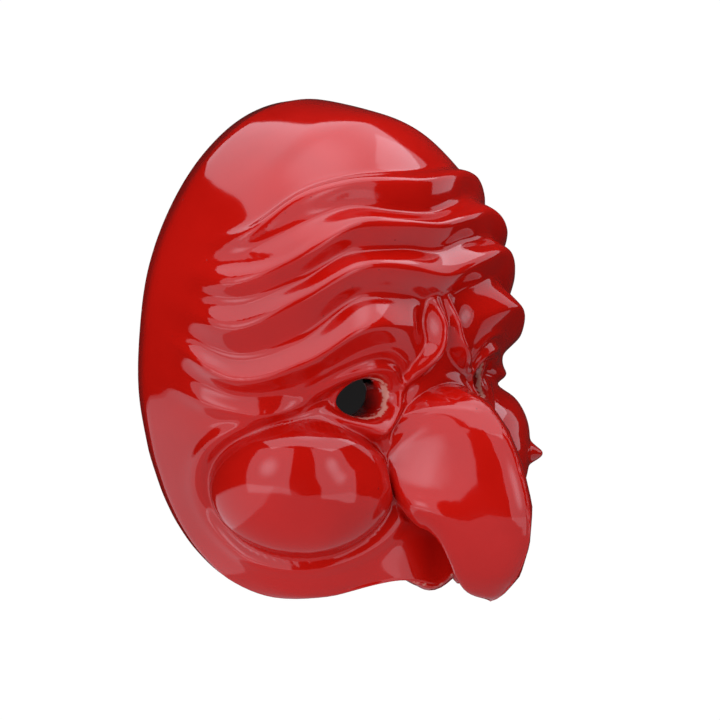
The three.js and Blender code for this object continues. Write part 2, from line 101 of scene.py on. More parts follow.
# Rolls laid on the face, drawn on one side and mirrored: path, half width and rise along it.
ROLLS = [
    (
        "upper lid",
        [(-64, -15), (-54, -10.5), (-44, -4), (-34, -1), (-26, -2.5), (-21, -8), (-20.5, -13)],
        [3, 3.4, 3.8, 4, 3.8, 3.6, 3],
        [0.3, 0.7, 2.0, 3.8, 3.8, 2, 0.6],
    ),
    (
        "lower lid",
        [(-21, -12), (-24, -18), (-32, -21), (-42, -19), (-52, -15.5), (-62, -16)],
        [3, 3.6, 3.8, 3.4, 3, 2.6],
        [0.6, 3.2, 4, 1.8, 0.2, 0],
    ),
    (
        "lid fold",
        [(-58, -6), (-48, 0), (-38, 4.5), (-29, 5.5), (-21, 1.5), (-17, -6)],
        [1.6, 2.2, 2.4, 2.4, 2.2, 1.6],
        [0.4, 0.8, 1.2, 1.2, 1.0, 0.5],
    ),
    (
        "eye bag",
        [(-60, -18.5), (-50, -21.5), (-40, -24.5), (-30, -24), (-23, -18), (-19, -10), (-16, -3)],
        [2, 2.6, 2.8, 2.8, 2.4, 2.4, 2],
        [0.4, 0.8, 1.6, 2.2, 1.8, 0.8, 0.5],
    ),
    (
        "frown",
        [(-3.5, 20), (-4, 12), (-6, 5), (-12, -1.5), (-18, -7)],
        [4, 4.4, 4.4, 4, 3],
        [3, 6, 6, 4, 0.8],
    ),
    (
        "temple groove",
        [(-50, 44), (-58, 38.6), (-66, 36.4), (-74, 36.2)],
        [1.8, 2.6, 2.8, 2.2],
        [-0.2, -0.9, -1.0, -0.3],
    ),
]

ROLL_STEPS = 33  # points along each roll's path
ROLL_MARGIN = 6  # wider than any roll's half width

# Hollows sunk into the face on both sides: middle, half sizes and depth.
HOLLOWS = [
    ("eye socket", (-34, -11), (19, 10), 6.5),
    ("outer corner", (-51, -15), (10, 7), 3.6),
    ("brow pit", (-10, 14), (4.5, 6), 3),
]
INNER_HOLLOW = 1.2  # the hollows are this many times as deep on the inside

# Ball cheek: middle of its foot, its long direction, half length and half height, and its rise.
BALL_MIDDLE = np.array([-46.5, -43.0, 47.6])
BALL_ALONG = np.array([43.9, -0.4, 45.6]) / np.linalg.norm([43.9, -0.4, 45.6])
BALL_HALF_LENGTH = 32.5
BALL_HALF_HEIGHT = 23.8
BALL_RISE = 16.3
BALL_SINK = 1.5  # the ball's foot lies this far under the face
BALL_CLEARANCE = 40.0  # how steeply the ball falls away beyond its foot, so that it ends there
BALL_BLEND = 1.2  # rounding where the ball and the face meet
BALL_GROOVE = (1.02, 0.08, 1.3)  # round the ball: place and width as shares of its size, and depth
BALL_RING = (1.19, 0.1, 1.5)  # raised ring outside the groove: the same, with its rise
RELIEF_BY_BALL = (0.85, 0.4)  # share of its size where the face's relief begins, and over how much

# One wart, on the ball cheek at +X only.
WART_ALONG = 2.0
WART_UP = 2.0
WART_RADIUS = 6.0
WART_RISE = 5.0

# Hooked nose: where it leaves the face, then its ridge and its underside as (Y, Z), with half widths.
NOSE_FOOT_Y = -34.0
NOSE_FOOT_ANGLES = [0, 30, 60, 90, 120, 150, 180]
NOSE_FOOT_RADII = [25, 25.5, 26.5, 26.5, 27, 28, 27]
NOSE_RIDGE = [
    (-9, 74), (-11, 85), (-15, 94.5), (-23.5, 102.8), (-35, 109), (-50, 113.6), (-63, 112.8), (-75, 107.6),
    (-82.6, 100.6), (-85.2, 96),
]
NOSE_UNDER = [
    (-60, 77), (-60, 80), (-60.5, 82.5), (-62, 84.5), (-64, 86),
    (-67, 87.2), (-71, 88), (-76, 89), (-81.4, 91.4), (-85.2, 96),
]
NOSE_HALF_WIDTHS = [27, 27, 26.8, 26.6, 26, 24.4, 21, 16.8, 11.6, 0]
NOSE_CORNER = 4.4  # how square each ring is on its underside, before its sides are drawn in
NOSE_RIDGE_CORNER = 9.0  # and on the side of the ridge
NOSE_SIDES = (1.19, 0.64)  # how its sides draw in from the face to the ridge
NOSE_TIP_SIDES = (1.7, 0.5)  # and how they do so at the tip, which is rounder
NOSE_TIP_START_Y = -60.0  # below this the sides change to the tip's
NOSE_TIP_LENGTH = 20.0  # over this length
NOSE_BROADEST_Y = -46.0  # above this the nose narrows towards its root
NOSE_NARROWING = (0.0055, 0.0001)  # share of its width lost by the mm, and by the mm squared
NOSE_BASE_HEIGHT = 75.0  # height from which its sides draw in, where it is broadest
NOSE_BASE_DROP = 0.2  # and how much lower that is for each mm above
NOSE_LEAST_RISE = 6.0  # least rise counted from there to the ridge
NOSE_WING_Y = -49.0  # crest of the bulge on each side, over the nostril
NOSE_WING_DROP = 6.0  # how far the crest falls back towards the ridge
NOSE_WING_BEND = (84, 20)  # height where it begins to fall back, and over how much it does
NOSE_WING_FADE = (86, 20)  # height where the bulge begins to fade, and over how much it does
NOSE_WING_UPPER = 4.6  # spread of the bulge above its crest
NOSE_WING_LOWER = 9.0  # and below it
NOSE_WING_RISE = 2.8
NOSE_FILLET_SHARE = 0.16  # share of the nose over which it grows out of the face
INNER_NOSE_SHARE = 0.9  # the hollow ends at this share of the nose
INNER_NOSE_LIFT = 1.3  # its sides draw in sooner, by this many thicknesses of the wall
INNER_NOSE_LEAST = 0.2  # least share of the nose's depth that the hollow keeps
INNER_NOSE_HALF = 1.0  # and its least half width

# Eye holes: middle, half sizes and lean of the opening, and the rounding of its edge.
EYE_MIDDLE = (-31.4, -11.4)
EYE_HALF_WIDTH = 8.4
EYE_HALF_HEIGHT = 7.0
EYE_LEAN = math.radians(8)
EYE_ROUNDING = 1.3
EYE_LIP = 6.5  # extra depth of the wall round each eye hole
EYE_LIP_PLACE = 0.95  # times the size of the hole
EYE_LIP_WIDTH = 0.45  # and how far it spreads
EDGE_ROUNDING = 1.1
EDGE_TURN_HEIGHT = 60.0  # the back edge is level on the ground, and square to the face from here up
WEAR_REACH = 0.8  # the lacquer is worn pale about this far from an edge
BACK_EDGE_WEAR = 0.8  # wear of the back edge, as a share of that round the eye holes

# Rings and points of the two sheets.
AROUND = 360
FACE_RINGS = 200
NOSE_RINGS = 36
INNER_FACE_RINGS = 28
INNER_NOSE_RINGS = 8
TEMPLE_CROWDING = 0.14  # brings the points round the face closer together over the temples
RING_SPACING = (0.45, 0.55)  # shares of even spacing, and of spacing that is closer at the back edge
NOSE_SPACING = 1.25  # brings the nose's rings closer together at its tip
EDGE_FADE = 0.1  # the relief dies out over this last share of the way to the back edge
FOOT_RELIEF = (0.3, 0.7)  # share of the relief at the foot of the nose, and the rest
FOOT_FADE = 0.05  # share of the way out over which the rest comes in
SMOOTHING_PASSES = 3
SMOOTHING_PULL = (0.35, 0.15)  # weights of the neighbours in a point's own ring, and across the rings
SMOOTHING_CLEAR = 1.2  # times the size of an eye hole, within which nothing is evened

# Curves


def curve_through(stations, values, x):
    """Smooth curve through values given at stations, level between two equal values."""
    stations = np.asarray(stations, float)
    values = np.asarray(values, float)
    x = np.asarray(x, float)
    slopes = np.gradient(values, stations)
    steps = np.diff(values)
    for i in np.flatnonzero(steps == 0):
        slopes[i] = slopes[i + 1] = 0.0
    i = np.clip(np.searchsorted(stations, x) - 1, 0, len(stations) - 2)
    gap = stations[i + 1] - stations[i]
    t = np.clip((x - stations[i]) / gap, 0, 1)
    t2 = t * t
    t3 = t2 * t
    return (
        (2 * t3 - 3 * t2 + 1) * values[i]
        + (t3 - 2 * t2 + t) * gap * slopes[i]
        + (3 * t2 - 2 * t3) * values[i + 1]
        + (t3 - t2) * gap * slopes[i + 1]
    )


def even_curve(values, share):
    """Curve through values spread evenly from share 0 to share 1; values may be points."""
    values = np.asarray(values, float)
    stations = np.linspace(0, 1, len(values))
    if values.ndim == 1:
        return curve_through(stations, values, share)
    return np.stack([curve_through(stations, column, share) for column in values.T], -1)


def ease(t):
    """Goes smoothly from 0 to 1 as t does."""
    t = np.clip(t, 0, 1)
    return t * t * (3 - 2 * t)


def soft_higher(a, b, rounding):
    """The higher of two heights with the corner between them rounded."""
    return 0.5 * (a + b + np.sqrt((a - b) ** 2 + rounding**2))


def bump(x, middle, width, height):
    """A smooth bump of a given height that dies away over a width on both sides of its middle."""
    return height * np.exp(-(((x - middle) / width) ** 2))


def mound(away):
    """A rounded mound, 1 in its middle and 0 at its rim, where away is 1."""
    return (1 - away**2) ** 1.5


# The face


def plain_face(x, y):
    """Height of the plain face, before any relief."""
    angle = np.degrees(np.arctan2(np.abs(x), y - FACE_CENTRE_Y))
    radius = curve_through(EDGE_ANGLES, EDGE_RADII, angle)
    height = curve_through(EDGE_ANGLES, EDGE_HEIGHTS, angle)
    fullness = curve_through(FULLNESS_ANGLES, FULLNESS, angle)
    share = np.clip(np.hypot(x, y - FACE_CENTRE_Y) / radius, 0, 1)
    return height + (FACE_DEPTH - height) * np.sqrt(np.clip(1 - share**fullness, 0, None))


def fold_rise(x, y):
    """Rise of the furrows: sharp in each crease and round over each crest, crisper at the temples."""
    turn = np.degrees(np.arctan2(np.abs(x), np.maximum(plain_face(x, y), LEAST_HEIGHT)))
    across = np.hypot(turn, bump(turn, 0, MIDDLE_REACH, MIDDLE_ROUNDING))
    stations = np.arange(7) * FOLD_STEP
    crisp = ease((across - CRISP_FROM) / CRISP_OVER)
    lines = [curve_through(stations, at, across) for name, at, rise in FOLDS]
    rises = [curve_through(stations, rise, across) for name, at, rise in FOLDS]
    result = np.where(y >= lines[0], rises[0], rises[-1])
    for upper, lower, upper_rise, lower_rise in zip(lines, lines[1:], rises, rises[1:]):
        down = np.clip((upper - y) / np.maximum(upper - lower, LEAST_FLANK), 0, 1)
        to_crest = np.where(lower_rise > upper_rise, down, 1 - down)
        eased = (np.sqrt(to_crest**2 + CREASE_ROUNDING**2) - CREASE_ROUNDING) / CREASE_SPAN
        rounded = 1 - np.clip(1 - eased, 0, 1) ** (CREST_ROUNDNESS[0] - CREST_ROUNDNESS[1] * crisp)
        hollowed = UPPER_FLANK[0] * rounded + UPPER_FLANK[1] * eased ** UPPER_FLANK[2]
        above = (1 - crisp) * rounded + crisp * hollowed
        below = LOWER_FLANK[0] * rounded + LOWER_FLANK[1] * eased ** LOWER_FLANK[2]
        profile = np.where(lower_rise > upper_rise, above, below)
        rise = np.minimum(upper_rise, lower_rise) + np.abs(lower_rise - upper_rise) * profile
        result = np.where((y < upper) & (y >= lower), rise, result)
    return result


def roll_rise(places):
    """Rise of the rolls at places (n, 3) on the plain face."""
    total = np.zeros(len(places))
    for name, path, half, rise in ROLLS:
        flat = even_curve(path, np.linspace(0, 1, ROLL_STEPS))
        line = np.column_stack([flat, plain_face(flat[:, 0], flat[:, 1])])
        low = line.min(0) - ROLL_MARGIN
        high = line.max(0) + ROLL_MARGIN
        near = np.all(places > low, axis=1) & np.all(places < high, axis=1)
        points = places[near]
        least = np.full(len(points), np.inf)
        share = np.zeros(len(points))
        for k in range(len(line) - 1):
            run = line[k + 1] - line[k]
            along = np.clip((points - line[k]) @ run / (run @ run), 0, 1)
            away = np.linalg.norm(points - line[k] - along[:, None] * run, axis=1)
            closer = away < least
            least[closer] = away[closer]
            share[closer] = (k + along[closer]) / (len(line) - 1)
        reach = np.clip(least / even_curve(half, share), 0, 1)
        total[near] += even_curve(rise, share) * mound(reach)
    return total


def hollow_rise(x, y):
    """Rise of the hollows, which is zero or less."""
    rise = 0.0
    for name, middle, half, depth in HOLLOWS:
        rise = rise - depth * np.exp(-(((x - middle[0]) / half[0]) ** 2) - ((y - middle[1]) / half[1]) ** 2)
    return rise


def relief(points, inside):
    """All relief at points (n, 3) on the plain face; the inside only keeps its broad forms."""
    places = points.copy()
    places[:, 0] = -np.abs(places[:, 0])
    x, y = places[:, 0], places[:, 1]
    upward = np.array([0.0, 1.0, 0.0]) - BALL_ALONG[1] * BALL_ALONG
    upward = upward / np.linalg.norm(upward)
    ball_along = (places - BALL_MIDDLE) @ BALL_ALONG
    ball_up = (places - BALL_MIDDLE) @ upward
    share = np.hypot(ball_along / BALL_HALF_LENGTH, ball_up / BALL_HALF_HEIGHT)
    beyond = np.clip(share - 1, 0, None)
    ball = BALL_RISE * np.sqrt(np.clip(1 - share**2, 0, None)) - BALL_SINK - BALL_CLEARANCE * beyond
    sunk = hollow_rise(x, y)
    if inside:
        lip = bump(eye_share(x, y), EYE_LIP_PLACE, EYE_LIP_WIDTH, EYE_LIP)
        return soft_higher(sunk * INNER_HOLLOW - WALL - lip, ball - WALL, BALL_BLEND)
    rise = fold_rise(x, y) + sunk + roll_rise(places)
    rise = rise * ease((share - RELIEF_BY_BALL[0]) / RELIEF_BY_BALL[1])
    rise = rise - bump(share, *BALL_GROOVE)
    rise = rise + bump(share, *BALL_RING)
    rise = soft_higher(rise, ball, BALL_BLEND)
    away = np.clip(np.hypot(ball_along - WART_ALONG, ball_up - WART_UP) / WART_RADIUS, 0, 1)
    return rise + np.where(points[:, 0] > 0, WART_RISE * mound(away), 0)


def eye_share(x, y):
    """1 on the outline of an eye hole, and less inside it."""
    across = -np.abs(x) - EYE_MIDDLE[0]
    up = y - EYE_MIDDLE[1]
    wide = (across * math.cos(EYE_LEAN) + up * math.sin(EYE_LEAN)) / EYE_HALF_WIDTH
    tall = (up * math.cos(EYE_LEAN) - across * math.sin(EYE_LEAN)) / EYE_HALF_HEIGHT
    return np.hypot(wide, tall)


# The two sheets


def directions():
    """Directions round the face, closer together over the temples where the furrows fan out."""
    turn = np.arange(AROUND) / AROUND * 2 * np.pi
    return turn + TEMPLE_CROWDING * np.sin(2 * turn)


def face_rings(turns, rings, inside):
    """Rings of points over the face from the foot of the nose out to the back edge.

    Also gives the squares left open for the eyes, and how worn each point is.
    """
    angle = np.degrees(np.minimum(turns, 2 * np.pi - turns))
    edge = curve_through(EDGE_ANGLES, EDGE_RADII, angle)
    foot = curve_through(NOSE_FOOT_ANGLES, NOSE_FOOT_RADII, angle)
    even = np.linspace(0, 1, rings + 1)[:, None]
    share = RING_SPACING[0] * even + RING_SPACING[1] * np.sin(even * np.pi / 2)
    foot_x = foot * np.sin(turns)
    foot_y = NOSE_FOOT_Y + foot * np.cos(turns)
    x = foot_x + (edge * np.sin(turns) - foot_x) * share
    y = foot_y + (FACE_CENTRE_Y + edge * np.cos(turns) - foot_y) * share
    z = plain_face(x, y)
    z[-1] = curve_through(EDGE_ANGLES, EDGE_HEIGHTS, angle)
    base = np.stack([x, y, z], -1)
    around = np.roll(base, -1, 1) - np.roll(base, 1, 1)
    outward = np.gradient(base, axis=0)
    normal = np.cross(outward, around)
    normal = normal / np.linalg.norm(normal, axis=2, keepdims=True)
    if normal[rings // 2, 0, 2] < 0:
        normal = -normal
    normal[-1, :, 2] *= ease(z[-1] / EDGE_TURN_HEIGHT)
    normal[-1] /= np.linalg.norm(normal[-1], axis=1, keepdims=True)
    hole = snap_to_eyes(base)
    rise = relief(base.reshape(-1, 3), inside).reshape(x.shape)
    fade = ease((1 - share) / EDGE_FADE) * (FOOT_RELIEF[0] + FOOT_RELIEF[1] * ease(share / FOOT_FADE))
    if inside:
        rise = -WALL + (rise + WALL) * fade
        worn = np.zeros(x.shape)
    else:
        rise = rise * fade
        to_edge = np.linalg.norm(base - base[-1], axis=2)
        rise = rise - rounding(to_edge, EDGE_ROUNDING)
        from_hole = np.maximum((eye_share(base[..., 0], base[..., 1]) - 1) * EYE_HALF_HEIGHT, 0)
        rise = rise - rounding(from_hole, EYE_ROUNDING)
        worn = bump(from_hole, 0, WEAR_REACH, 1) + bump(to_edge, 0, WEAR_REACH, BACK_EDGE_WEAR)
    straight = (1 - ease(eye_share(base[..., 0], base[..., 1]) - 1))[..., None]
    normal = normal + (np.array([0.0, 0.0, 1.0]) - normal) * straight
    return evened(base + rise[..., None] * normal, base), hole, worn


def evened(points, base):
    """Each point moved a little towards its neighbours, away from the edges."""
    keep = eye_share(base[..., 0], base[..., 1]) < SMOOTHING_CLEAR
    keep[:2] = keep[-3:] = True
    for _ in range(SMOOTHING_PASSES):
        beside = (np.roll(points, 1, 1) + np.roll(points, -1, 1)) / 2
        along = points.copy()
        along[1:-1] = (points[:-2] + points[2:]) / 2
        middle = points / 2 + beside * SMOOTHING_PULL[0] + along * SMOOTHING_PULL[1]
        points = np.where(keep[..., None], points, middle)
    return points


def rounding(away, radius):
    """How far a surface falls back near a rounded edge."""
    t = 1 - np.clip(away / radius, 0, 1)
    return radius * (1 - np.sqrt(np.clip(1 - t * t, 0, None)))


def snap_to_eyes(base):
    """Marks the squares inside the eye holes, and moves the points round each onto its outline."""
    share = eye_share(base[..., 0], base[..., 1])
    after = np.roll(share, -1, 1)
    middle = (share[:-1] + share[1:] + after[:-1] + after[1:]) / 4
    hole = middle < 1
    beside = hole | np.roll(hole, 1, 1)
    touches = np.zeros(share.shape, bool)
    touches[:-1] |= beside
    touches[1:] |= beside
    solid = ~hole | np.roll(~hole, 1, 1)
    free = np.zeros(share.shape, bool)
    free[:-1] |= solid
    free[1:] |= solid
    on_outline = touches & free
    side = np.sign(base[..., 0])
    centre = np.stack([-EYE_MIDDLE[0] * side, np.full(side.shape, EYE_MIDDLE[1])], -1)
    moved = centre + (base[..., :2] - centre) / share[..., None]
    base[on_outline, :2] = moved[on_outline]
    base[on_outline, 2] = plain_face(base[on_outline, 0], base[on_outline, 1])
    return hole


def nose_rings(turns, foot, rings, inside):
    """Rings of points along the nose, from just above the face to the tip."""
    inset = WALL if inside else 0.0
    reach = INNER_NOSE_SHARE if inside else 1.0
    even = np.arange(1, rings + 1) / (rings + 1)
    share = reach * (1 - (1 - even) ** NOSE_SPACING)
    ridge = even_curve(NOSE_RIDGE, share)
    under = even_curve(NOSE_UNDER, share)
    tall = np.linalg.norm(ridge - under, axis=1)
    keep = np.maximum(1 - 2 * inset / tall, INNER_NOSE_LEAST)
    least_half = INNER_NOSE_HALF if inside else 0.0
    half = np.maximum(even_curve(NOSE_HALF_WIDTHS, share) - inset, least_half)
    power = np.where(np.cos(turns) > 0, 2 / NOSE_RIDGE_CORNER, 2 / NOSE_CORNER)
    up = np.sign(np.cos(turns)) * np.abs(np.cos(turns)) ** power
    out = np.sign(np.sin(turns)) * np.abs(np.sin(turns)) ** power
    middle = (ridge + under) / 2
    arm = (ridge - under) / 2 * keep[:, None]
    shape = np.stack(
        [half[:, None] * out, middle[:, :1] + arm[:, :1] * up, middle[:, 1:] + arm[:, 1:] * up], -1
    )
    crest = np.array(NOSE_RIDGE)[::-1]
    along = shape[..., 1]
    above = np.maximum(along - NOSE_BROADEST_Y, 0)
    base = NOSE_BASE_HEIGHT - NOSE_BASE_DROP * above
    top = np.maximum(np.interp(along, crest[:, 0], crest[:, 1]), base + NOSE_LEAST_RISE)
    height = np.clip((shape[..., 2] + INNER_NOSE_LIFT * inset - base) / (top - base), 0, 1)
    tip = ease((NOSE_TIP_START_Y - along) / NOSE_TIP_LENGTH)
    curve = NOSE_SIDES[0] + (NOSE_TIP_SIDES[0] - NOSE_SIDES[0]) * tip
    draw = NOSE_SIDES[1] + (NOSE_TIP_SIDES[1] - NOSE_SIDES[1]) * tip
    shape[..., 0] *= 1 - NOSE_NARROWING[0] * above - NOSE_NARROWING[1] * above**2
    shape[..., 0] *= np.maximum(1 - height**curve, 0.0001) ** draw
    if not inside:
        fallen = ease((shape[..., 2] - NOSE_WING_BEND[0]) / NOSE_WING_BEND[1])
        crest_y = NOSE_WING_Y - NOSE_WING_DROP * fallen
        aside = shape[..., 1] - crest_y
        aside = aside / np.where(aside > 0, NOSE_WING_UPPER, NOSE_WING_LOWER)
        faded = 1 - ease((shape[..., 2] - NOSE_WING_FADE[0]) / NOSE_WING_FADE[1])
        wing = NOSE_WING_RISE * np.exp(-(aside**2)) * faded * np.abs(out)
        shape[..., 0] += np.sign(shape[..., 0]) * wing
    grown = ease(share / NOSE_FILLET_SHARE)[:, None, None]
    return foot + (shape - foot) * grown


def nose_tip(inside):
    """The point that closes the nose, or its hollow."""
    share = np.array([INNER_NOSE_SHARE if inside else 1.0])
    middle = (even_curve(NOSE_RIDGE, share) + even_curve(NOSE_UNDER, share))[0] / 2
    return np.array([0.0, middle[0], middle[1]])


def sheet(turns, face_count, nose_count, inside):
    """One sheet of the shell, from the nose tip outwards: rings, open squares and how worn it is."""
    face, hole, worn = face_rings(turns, face_count, inside)
    nose = nose_rings(turns, face[0], nose_count, inside)[::-1]
    rings = np.concatenate([nose, face])
    opened = np.concatenate([np.zeros((nose_count, len(turns)), bool), hole])
    worn = np.concatenate([np.zeros((nose_count, len(turns))), worn])
    return rings, opened, worn


def build_mask():
    """The shell as one mesh: outer sheet, back edge, inner sheet and the edges of the eye holes."""
    turns = directions()
    outer, outer_hole, outer_worn = sheet(turns, FACE_RINGS, NOSE_RINGS, False)
    inner, inner_hole, inner_worn = sheet(turns, INNER_FACE_RINGS, INNER_NOSE_RINGS, True)
    rings = np.concatenate([outer, inner[::-1]])
    opened = np.concatenate([outer_hole, np.zeros((1, AROUND), bool), inner_hole[::-1]])
    points = np.concatenate([[nose_tip(False)], rings.reshape(-1, 3), [nose_tip(True)]])
    points[:, 1] -= BOX_MIDDLE_Y
    mesh = bpy.data.meshes.new("mask_shell")
    shell = bmesh.new()
    worn_layer = shell.verts.layers.float.new("worn")
    inside_layer = shell.verts.layers.float.new("inside")
    corners = [shell.verts.new(point) for point in points * MM]
    worn = np.concatenate([[0], outer_worn.ravel(), inner_worn[::-1].ravel(), [0]])
    inside = np.concatenate([np.zeros(1 + outer_worn.size), np.ones(inner_worn.size + 1)])
    for point, worn_value, inside_value in zip(corners, worn, inside):
        point[worn_layer] = worn_value
        point[inside_layer] = inside_value
    last = len(points) - 1
    count = len(rings)

    def corner(ring, k):
        return corners[1 + ring * AROUND + k % AROUND]

    for k in range(AROUND):
        shell.faces.new((corners[0], corner(0, k + 1), corner(0, k)))
        shell.faces.new((corners[last], corner(count - 1, k), corner(count - 1, k + 1)))
        for ring in range(count - 1):
            if not opened[ring, k]:
                this_ring = (corner(ring, k), corner(ring, k + 1))
                next_ring = (corner(ring + 1, k + 1), corner(ring + 1, k))
                shell.faces.new(this_ring + next_ring)
    loose = [point for point in shell.verts if not point.link_faces]
    bmesh.ops.delete(shell, geom=loose, context="VERTS")
    for side in (-1, 1):
        open_edges = [edge for edge in shell.edges if edge.is_boundary and edge.verts[0].co.x * side > 0]
        bmesh.ops.bridge_loops(shell, edges=open_edges)
    bmesh.ops.recalc_face_normals(shell, faces=shell.faces)
    for face in shell.faces:
        face.smooth = True
    shell.to_mesh(mesh)
    shell.free()
    mask = bpy.data.objects.new("mask_shell", mesh)
    bpy.context.scene.collection.objects.link(mask)
    return mask


# Camera

PHOTO_SIDE = 720  # pixels
VIEW_TURN = math.radians(48)  # the camera stands to the mask's own right
VIEW_RISE = math.radians(8)  # and a little towards its forehead
CAMERA_AWAY = 0.95  # metres
PIXELS_PER_MM = 2.72
ORIGIN_PIXEL = (294, 341)
DEPTH_OF_SCALE = 0.035  # the scale holds this far in front of the back edge


def add_camera():
    """The photo's view of the mask, given by the pixel that its unmoved origin falls on."""
    back = Vector(
        (
            -math.sin(VIEW_TURN) * math.cos(VIEW_RISE),
            math.sin(VIEW_RISE),
            math.cos(VIEW_TURN) * math.cos(VIEW_RISE),
        )
    )
    right = Vector((0, 1, 0)).cross(back).normalized()
    up = back.cross(right)
    focal_pixels = PIXELS_PER_MM * CAMERA_AWAY / MM
    near = back.z * DEPTH_OF_SCALE
    aside = -(ORIGIN_PIXEL[0] - PHOTO_SIDE / 2) * (CAMERA_AWAY + near) / focal_pixels
    above = (ORIGIN_PIXEL[1] - PHOTO_SIDE / 2) * (CAMERA_AWAY + near) / focal_pixels
    place = right * aside + up * above + back * (near + CAMERA_AWAY) + Vector((0, -BOX_MIDDLE_Y * MM, 0))
    data = bpy.data.cameras.new("camera")
    data.sensor_width = 36.0
    data.lens = focal_pixels / PHOTO_SIDE * data.sensor_width
    data.dof.use_dof = False
    camera = bpy.data.objects.new("camera", data)
    bpy.context.scene.collection.objects.link(camera)
    turn = Matrix((right, up, back)).transposed().to_4x4()
    camera.matrix_world = Matrix.Translation(place) @ turn
    bpy.context.scene.camera = camera
    return right, up, back


view_right, view_up, view_back = add_camera()

# Materials


def add_node(tree, kind, links=None, **settings):
    """A node with its settings; links gives what each of its inputs is joined to."""
    node = tree.nodes.new(kind)
    for name, value in settings.items():
        setattr(node, name, value)
    for name, source in (links or {}).items():
        tree.links.new(source, node.inputs[name])
    return node


def set_inputs(node, **values):
    """Sets a node's inputs, named in small letters with underscores."""
    for name, value in values.items():
        node.inputs[name.replace("_", " ").title()].default_value = value
    return node


def between(tree, source, low, high, to_low=0.0, to_high=1.0):
    """A value eased from to_low to to_high as the source goes from low to high."""
    node = add_node(tree, "ShaderNodeMapRange", {"Value": source}, interpolation_type="SMOOTHSTEP")
    set_inputs(node, from_min=low, from_max=high, to_min=to_low, to_max=to_high)
    return node.outputs["Result"]


def mixed_colour(tree, share, first, second):
    """Two colours mixed by a share; either may be a plain colour or another node's output."""
    node = add_node(tree, "ShaderNodeMix", {"Factor": share}, data_type="RGBA")
    for name, colour in (("A", first), ("B", second)):
        socket = [item for item in node.inputs if item.name == name and item.type == "RGBA"][0]
        if isinstance(colour, tuple):
            socket.default_value = colour
        else:
            tree.links.new(colour, socket)
    return [item for item in node.outputs if item.type == "RGBA"][0]


def noise(tree, place, scale, detail=2.0):
    """Noise of a given scale and detail over a place."""
    node = add_node(tree, "ShaderNodeTexNoise", {"Vector": place})
    node.inputs["Scale"].default_value = scale
    node.inputs["Detail"].default_value = detail
    return node.outputs["Fac"]


# Finish of the lacquer: how many clouds, pits, ripples and chips there are to the metre
CLOUD_SCALE = 22.0
PIT_SCALE = 240.0
RIPPLE_SCALE = 210.0
CHIP_SCALE = 420.0
CHIP_SHARE = 0.7  # how strongly the chips break up a worn edge
CHIP_EDGE = (1.12, 1.3)  # wear and chips added up: where bare edge begins to show, and only it does
PIT_RIM = (0.03, 0.09)  # distance from the middle of a pit, in cells, over which it ends
PITTED_CELLS = (0.88, 0.9)  # only cells whose own random number is above these have a pit
CLOUD_TINT = (0.35, 0.65)  # cloudiness between which the red goes from deep to clear
CLOUD_GLOSS = (0.3, 0.7)  # and between which the lacquer goes from its glossiest to its dullest
GLOSS = (0.055, 0.085)  # roughness at those two
DULL_ROUGHNESS = 0.34  # roughness added where the lacquer is worn, and inside


def surface_finish():
    """Masks shared by the outside and the inside of the shell: cloudiness, pits, worn edges, inside."""
    tree = bpy.data.node_groups.new("lacquer_finish", "ShaderNodeTree")
    tree.interface.new_socket("Cloud Size", in_out="INPUT", socket_type="NodeSocketFloat")
    tree.interface.new_socket("Pit Size", in_out="INPUT", socket_type="NodeSocketFloat")
    for name in ("Clouds", "Ripples", "Pits", "Worn", "Inside"):
        tree.interface.new_socket(name, in_out="OUTPUT", socket_type="NodeSocketFloat")
    given = tree.nodes.new("NodeGroupInput")
    result = tree.nodes.new("NodeGroupOutput")
    place = add_node(tree, "ShaderNodeTexCoord").outputs["Object"]
    clouds = noise(tree, place, 1.0, 3.0)
    tree.links.new(given.outputs["Cloud Size"], clouds.node.inputs["Scale"])
    ripples = noise(tree, place, RIPPLE_SCALE, 1.0)
    cells = add_node(tree, "ShaderNodeTexVoronoi", {"Vector": place})
    tree.links.new(given.outputs["Pit Size"], cells.inputs["Scale"])
    cell_tint = add_node(tree, "ShaderNodeSeparateColor", {"Color": cells.outputs["Color"]})
    dots = between(tree, cells.outputs["Distance"], *PIT_RIM, 1.0, 0.0)
    rare = between(tree, cell_tint.outputs["Red"], *PITTED_CELLS)
    pits = add_node(tree, "ShaderNodeMath", operation="MULTIPLY")
    tree.links.new(dots, pits.inputs[0])
    tree.links.new(rare, pits.inputs[1])
    edge = add_node(tree, "ShaderNodeAttribute", attribute_name="worn").outputs["Fac"]
    broken = add_node(tree, "ShaderNodeMath", operation="MULTIPLY_ADD")
    tree.links.new(noise(tree, place, CHIP_SCALE, 4.0), broken.inputs[0])
    broken.inputs[1].default_value = CHIP_SHARE
    tree.links.new(edge, broken.inputs[2])
    inner = add_node(tree, "ShaderNodeAttribute", attribute_name="inside").outputs["Fac"]
    tree.links.new(clouds, result.inputs["Clouds"])
    tree.links.new(ripples, result.inputs["Ripples"])
    tree.links.new(pits.outputs["Value"], result.inputs["Pits"])
    tree.links.new(between(tree, broken.outputs["Value"], *CHIP_EDGE), result.inputs["Worn"])
    tree.links.new(between(tree, inner, 0.9, 1.0), result.inputs["Inside"])
    return tree


DEEP_RED = (0.42, 0.0045, 0.002, 1)
CLEAR_RED = (0.48, 0.006, 0.003, 1)
PIT_RED = (0.16, 0.003, 0.002, 1)
BARE_EDGE = (0.62, 0.25, 0.19, 1)
INSIDE_RED = (0.2, 0.012, 0.008, 1)


